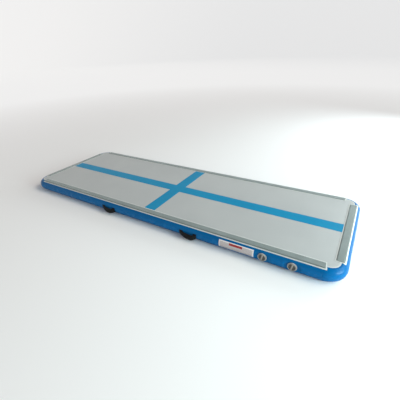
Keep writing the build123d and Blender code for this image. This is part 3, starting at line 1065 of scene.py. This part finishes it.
# %% [markdown]
# ## Turned and moulded valve parts
# The seat, the flange and barrel, and the cap are round, so each is a profile of
# radius r and height t spun about the valve's axis, which points out of the front
# side. t is counted outwards from the face that the valve clamps. The cap's face has
# two finger pockets either side of a grip bar, which a plain spin can't make. There
# the height is a formula of both the radius and the angle.

# %% Valve helpers
AROUND = 72


def on_valve(at, r, angle, t):
    """A point at radius r and angle about a valve's axis, t outwards from its seat."""
    x = at[0] + r * np.cos(angle)
    z = at[2] + r * np.sin(angle)
    return np.stack([x, np.broadcast_to(seat_y - t, x.shape), z], -1)


def spin(name, at, profile, finish):
    """Spins a closed list of (r, t) in mm about a valve's axis."""
    profile = np.array(profile) * MM
    angle = np.linspace(0, 2 * math.pi, AROUND, endpoint=False)
    grid = on_valve(at, profile[:, :1], angle, profile[:, 1:])
    piece = surface(name, np.concatenate([grid, grid[:1]]), finish, across=True)
    return shaded_by_angle(weld(piece), 35)


def rounded(points, radius, turns=4):
    """Rounds every corner of a closed (r, t) outline in mm with an arc-like curve."""
    points = np.array(points, float)
    out = []
    for k, corner in enumerate(points):
        ways = np.array([points[k - 1] - corner, points[(k + 1) % len(points)] - corner])
        long = np.linalg.norm(ways, axis=1, keepdims=True)
        start, end = corner + ways / long * min(radius, long.min() / 2.2)
        for t in np.linspace(0, 1, turns):
            out.append((1 - t) ** 2 * start + 2 * t * (1 - t) * corner + t**2 * end)
    return np.array(out)


def bar(name, at, turn, run, half, low, high, soft, finish):
    """A straight bar along `run` at one turn about the axis, in mm, its section rounded."""
    side, t = rounded([(-half, low), (half, low), (half, high), (-half, high)], soft).T
    x = at[0] + MM * (run[:, None] * math.cos(turn) - side * math.sin(turn))
    z = at[2] + MM * (run[:, None] * math.sin(turn) + side * math.cos(turn))
    points = np.stack([x, np.broadcast_to(seat_y - t * MM, x.shape), z], -1)
    return weld(surface(name, points, finish, across=True, caps=True))


def reach_out(node):
    """How far a valve's node stands out from the seat, in mm: its inner end, its outer end."""
    low, high = corners(node)
    return (seat_y - high[1]) / MM, (seat_y - low[1]) / MM


print("valve seat at y", round(seat_y, 4))

# %% [markdown]
# ## The valves
# From the wall outwards: a welded blue doubler ring, a rubber gasket, the flange with
# its barrel, the soft tether eye, and the cap. The flange has a raised bead round its
# edge, which catches the light as a pale ring; the flange's paler grey paints part of
# that highlight, and the cap's darker grey paints part of the shade inside it.

# %% Make the valves
flange_r = half_size("valve_1_body")[0] / MM
cap_r = half_size("valve_1_cap")[0] / MM
barrel_t, flange_t = reach_out("valve_1_body")
gasket_t, cap_t = reach_out("valve_1_gasket")[1], reach_out("valve_1_cap")[1]
barrel_r = hole_radius / MM
mouth_r = barrel_r - 4.0
spider_low, spider_high = -17.0, -14.0
BEAD = 2.6  # height of the rim round the flange, mm


def flange_and_barrel(at, name):
    """Flange with a beaded rim, barrel, and the spider that guides the stem."""
    rim_t = flange_t + BEAD
    outline = [(mouth_r, barrel_t), (barrel_r, barrel_t), (barrel_r, gasket_t),
               (flange_r, gasket_t), (flange_r, rim_t), (flange_r - 1.6, rim_t),
               (flange_r - 2.0, flange_t), (mouth_r, flange_t)]
    boss = [(2.05, spider_low), (4.5, spider_low), (4.5, spider_high), (2.05, spider_high)]
    pieces = [spin(name, at, rounded(outline, 0.7), highlit_valve_nylon),
              spin(name + "_boss", at, rounded(boss, 0.3), highlit_valve_nylon)]
    run = np.linspace(4.0, mouth_r + 0.5, 8)
    for turn in np.radians([90, 210, 330]):
        pieces.append(bar(name + "_spoke", at, turn, run, 1.5, spider_low, spider_high, 0.4,
                          highlit_valve_nylon))
    return join(name, pieces)


GRIP = 4.2  # half the grip bar's width, mm
RIBS = 36  # grip ribs round the cap's edge
POCKET_RIM = 3.2
POCKET_DEPTH = 2.9
NECK, PLUG, PLUG_INNER = 22.0, 16.5, 14.5  # radii under the cap, mm
CAP_TURN = math.radians(78)  # how the grip bar stands at rest


def cap_pockets(r, angle):
    """1 on the floor of the two finger pockets, 0 on the grip bar and the rim."""
    side = np.abs(r * np.sin(angle - CAP_TURN))
    inside = smooth(r, cap_r - POCKET_RIM + 0.6, cap_r - POCKET_RIM - 0.6)
    return inside * smooth(side, GRIP - 0.5, GRIP + 0.7)


def cap_piece(at, name):
    """Cap: face by formula, then its ribbed edge, neck and hollow plug as one closed skin."""
    angle = np.linspace(0, 2 * math.pi, 6 * RIBS, endpoint=False)[None]
    r_face = np.concatenate([np.linspace(0, cap_r - 4.4, 34), np.linspace(cap_r - 4.2, cap_r, 22)])
    r_face = r_face[:, None]
    rim_t, neck_t, plug_t = cap_t - 3.6, cap_t - 5.1, cap_t - 9.6
    pocket = cap_pockets(r_face, angle)
    t_face = cap_t - 0.15 - POCKET_DEPTH * pocket - 1.1 * smooth(r_face, cap_r - 1.3, cap_r) ** 2
    under = np.array([(cap_r, rim_t + 0.6), (cap_r - 0.5, rim_t), (NECK, rim_t), (NECK, neck_t),
                      (PLUG, neck_t), (PLUG, plug_t + 0.5), (PLUG - 0.5, plug_t),
                      (PLUG_INNER + 0.5, plug_t), (PLUG_INNER, plug_t + 0.5),
                      (PLUG_INNER, neck_t - 0.1), (0.0, neck_t - 0.1)])
    r = np.concatenate([r_face, under[:, :1]]) + 0 * angle
    t = np.concatenate([t_face, under[:, 1:] + 0 * angle])
    r = r - 0.25 * (1 - np.cos(RIBS * angle)) * smooth(r, cap_r - 1.0, cap_r)
    piece = surface(name, on_valve(at, r * MM, angle, t * MM), shaded_cap_nylon, across=True)
    # The pocket floors are marked so that the cap's finish paints shade on them.
    mark(piece, "hollow", np.concatenate([0.9 * pocket, 0 * t[len(pocket):]]).ravel())
    return shaded_by_angle(weld(piece), 35)


doubler_t = -DOUBLER / MM
for k, at in zip(VALVES, valve_at):
    tag = f"valve_{k}_"
    ring = rounded([(barrel_r, doubler_t), (36.0, doubler_t - 0.4), (36.0, -0.9), (33.5, 0.0),
                    (barrel_r, 0.0)], 0.6)
    belongs(spin(tag + "doubler", at, ring, blue_tape), "blue_band", tag + "seat")
    belongs(flange_and_barrel(at, tag + "flange"), "valve_plastic", tag + "body")
    belongs(cap_piece(at, tag + "cap_moulding"), "valve_plastic", tag + "cap", body=tag + "cap")
print("valves made")

# %% [markdown]
# ## Tethers
# A short soft strap joins the flange to the eye that holds the cap. When the cap is
# pulled off, the strap follows it.

# %% Make the tethers
TETHER_TURN = math.radians(-150)
TETHER_LIFT = 0.25  # off the flange, mm
eye_r = half_size("valve_1_eye")[0] / MM
low, high = np.array(reach_out("valve_1_eye")) + TETHER_LIFT
run = np.linspace(flange_r - 0.9, eye_r - 0.6, 12)
for k, at in zip(VALVES, valve_at):
    piece = bar(f"valve_{k}_tether_strap", at, TETHER_TURN, run, 2.5, low, high, 0.35, tether_pvc)
    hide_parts(f"valve_{k}_tether")
    start, end = [(at[0] + MM * r * math.cos(TETHER_TURN), seat_y - (low + high) / 2 * MM,
                   at[2] + MM * r * math.sin(TETHER_TURN)) for r in (run[0] - 0.5, run[-1] + 0.3)]
    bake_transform(piece)
print("tethers", round(flange_r - eye_r, 1), "mm long")

# %% [markdown]
# ## Springs
# A coil spring holds each valve shut. It sits round the stem, on the spider, and is
# pressed flat by the button when the stem goes in. Its wire is a small circle carried
# along a helix, between the ends of the imported spring.

# %% Wind the springs
TURNS = 5
WIRE = 0.45 * MM  # half the wire's thickness


def coil_spring(name, low, high):
    """Helix: an angle that turns steadily and a y that climbs with it, with a round section."""
    middle = (low + high) / 2
    angle = np.linspace(0, TURNS * 2 * math.pi, TURNS * 20 + 1)[:, None]
    around = np.linspace(0, 2 * math.pi, 8, endpoint=False)
    r = (high[0] - low[0]) / 2 - WIRE + WIRE * np.cos(around)
    climb = low[1] + WIRE + (high[1] - low[1] - 2 * WIRE) * angle / angle[-1]
    points = np.stack([middle[0] + r * np.cos(angle), climb + WIRE * np.sin(around),
                       middle[2] + r * np.sin(angle)], -1)
    return surface(name, points, spring_wire, across=True, caps=True)


for k in VALVES:
    low, high = corners(f"valve_{k}_spring")
    coil = coil_spring(f"valve_{k}_spring_wire", low, high)
    shaded_by_angle(coil, 50)
    belongs(coil, "spring_steel", f"valve_{k}_spring")
    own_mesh(coil)

# %% [markdown]
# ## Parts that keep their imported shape
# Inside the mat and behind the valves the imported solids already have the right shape.
# They only get their real materials.

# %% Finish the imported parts
finishes = dict.fromkeys(("upper_base_cloth", "lower_base_cloth", "drop_threads"), raw_polyester)
for k in VALVES:
    for part, finish in (("gasket", black_rubber), ("cap_seal", black_rubber), ("stem", shaded_cap_nylon),
                         ("stem_seal", black_rubber), ("nut", highlit_valve_nylon), ("eye", tether_pvc)):
        finishes[f"valve_{k}_{part}"] = finish
for node, finish in finishes.items():
    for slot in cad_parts[node].material_slots:
        slot.material = finish
print(len(finishes), "packed parts refinished")

# %% [markdown]
# ## Floor, light and camera
# A pale floor rises into a pale wall, as studio paper does. A broad sun from behind the
# right-hand end and two cards beside it keep that end bright, and the near side falls
# into a gentle shade.

# %% Floor, light and camera
FLOOR = 26.0  # radius of the floor, and of the backdrop
WALL = 12.0  # height of the backdrop


def studio_paper(name, near, far, glow):
    """Matt white paper, lit from behind with a strength that grows from near to far."""
    made, tree, shader = new_finish(name)
    where = add(tree, "ShaderNodeTexCoord").outputs["Object"]
    reach = add(tree, "ShaderNodeVectorMath", {0: where}, operation="LENGTH").outputs["Value"]
    linked = {}
    for socket, here, there in (("Emission Strength", 0.0, glow), ("Base Color", 0.9, 0.25)):
        fade = add(tree, "ShaderNodeMapRange", {"Value": reach, "From Min": near, "From Max": far,
                                                "To Min": here, "To Max": there})
        linked[socket] = fade.outputs[0]
    complete(tree, shader, linked, [], Roughness=0.9, Specular_IOR_Level=0.1,
             Emission_Color=(1.0, 1.0, 1.0, 1.0))
    return made


turn = np.linspace(0, 2 * math.pi, 97)[:, None]
radius = np.array([[0.0, 2.0, 6.0, 12.0, FLOOR, FLOOR]])
rise = np.array([[0.0, 0.0, 0.0, 0.0, 0.0, WALL]]) - 0.2 * MM
room = np.stack([radius * np.cos(turn), radius * np.sin(turn), rise + 0 * turn], -1)
floor = surface("floor", room, studio_paper("white studio paper", 2.0, 8.0, 0.68))

scene.world = scene.world or bpy.data.worlds.new("studio")
scene.world.use_nodes = True
background = scene.world.node_tree.nodes.get("Background")
background.inputs["Color"].default_value = rgb("#F6F8FF")
background.inputs["Strength"].default_value = 0.25


def lamp(name, kind, at, aim, power, size, colour):
    """A soft sun (size in radians) or a card (sides in metres), turned to face a point."""
    light = bpy.data.lights.new(name, kind)
    light.energy = power
    light.color = rgb(colour)[:3]
    if kind == "SUN":
        light.angle = size
    else:
        light.shape = "RECTANGLE"
        light.size, light.size_y = size
    made = bpy.data.objects.new(name, light)
    made.location = at
    made.rotation_euler = (Vector(aim) - Vector(at)).to_track_quat("-Z", "Y").to_euler()
    scene.collection.objects.link(made)
    return made


MAT_END = (1.45, 0.0, 0.05)
lamp("window side", "SUN", (7.0, 3.5, 6.5), (0.0, 0.0, 0.0), 1.5, math.radians(30), "#FFF6EA")
lamp("end card", "AREA", (4.3, -0.7, 1.1), MAT_END, 170, (1.8, 1.2), "#DFF7F9")
lamp("rim card", "AREA", (3.0, 3.2, 1.5), MAT_END, 110, (2.2, 1.6), "#EAF9FC")

RIGHT_AXIS = (0.85786, 0.51196, -0.04440)
UP_AXIS = (-0.21809, 0.44095, 0.87063)
BACK_AXIS = (0.46530, -0.73720, 0.48993)
camera_data = bpy.data.cameras.new("camera")
camera_data.sensor_width = 36.0
camera_data.lens = 25.10
camera = bpy.data.objects.new("camera", camera_data)
turn = Matrix((RIGHT_AXIS, UP_AXIS, BACK_AXIS)).transposed()
camera.matrix_world = Matrix.Translation((1.4205, -1.8715, 1.2780)) @ turn.to_4x4()
scene.collection.objects.link(camera)
scene.camera = camera
scene.view_settings.view_transform = "Standard"
print("camera at", tuple(round(c, 3) for c in camera.location))
